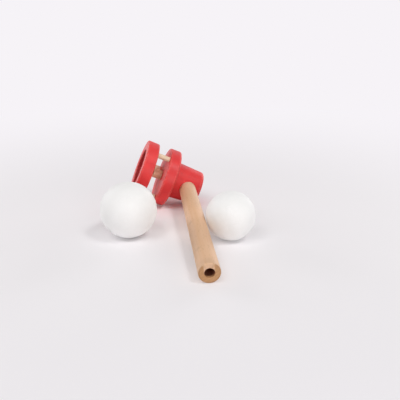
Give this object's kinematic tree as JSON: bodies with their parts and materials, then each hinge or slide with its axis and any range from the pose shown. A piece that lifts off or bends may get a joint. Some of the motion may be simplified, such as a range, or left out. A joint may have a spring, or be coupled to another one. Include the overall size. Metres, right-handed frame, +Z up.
{
  "type": "blow ball game",
  "caption": "Turned wooden blow pipe toy with a red head: breath down the pipe leaves a nozzle under a red hoop and floats a light white ball, which drops back into the hoop.",
  "frame": {"origin": "middle of the footprint of the toy and its loose balls, on the table plane", "axes": "+Z up from the table; +Y from the pipe's mouth towards the head; +X from the hoop's side towards the cup's end"},
  "size_m": [0.1082, 0.1762, 0.055],
  "materials": {
    "red_paint": "satin",
    "bare_wood": "matte",
    "white_foam": "matte"
  },
  "bodies": {
    "toy": {"cup_body": "red_paint", "hoop_ring": "red_paint", "hoop_post_1": "bare_wood", "hoop_post_2": "bare_wood", "hoop_post_3": "bare_wood", "air_nozzle": "bare_wood", "blow_pipe": "bare_wood"},
    "large_ball": {"ball_large": "white_foam"},
    "small_ball": {"ball_small": "white_foam"}
  },
  "joints": [
    {"name": "large_ball_lift", "type": "slide", "parent": "toy", "child": "large_ball", "axis": [0, 0, 1], "range_m": [0, 0.1]},
    {"name": "small_ball_lift", "type": "slide", "parent": "toy", "child": "small_ball", "axis": [0, 0, 1], "range_m": [0, 0.1]}
  ]
}
